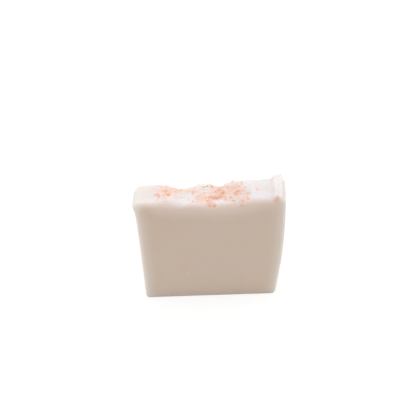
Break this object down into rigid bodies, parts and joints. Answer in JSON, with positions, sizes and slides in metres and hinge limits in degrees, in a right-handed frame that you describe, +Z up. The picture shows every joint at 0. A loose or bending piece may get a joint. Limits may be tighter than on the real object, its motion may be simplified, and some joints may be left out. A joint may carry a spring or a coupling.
{
  "type": "bar of soap",
  "caption": "Upright slice of handmade loaf soap with flat cut faces, drafted sides, and a rough crust set with pink salt crystals.",
  "frame": {"origin": "middle of the flat base, on the surface that the bar stands on", "axes": "+X along the cut faces, from the rounded shoulder to the raised rim; +Y through the slice, from the pitted cut face to the plain one; +Z up to the crust"},
  "size_m": [0.0818, 0.018, 0.0754],
  "materials": {
    "soap": "satin",
    "pale_salt": "satin",
    "coral_salt": "satin",
    "rust_salt": "satin"
  },
  "bodies": {
    "root": {"soap_bar": "soap", "salt_pale": "pale_salt", "salt_coral": "coral_salt", "salt_rust": "rust_salt"}
  },
  "joints": []
}
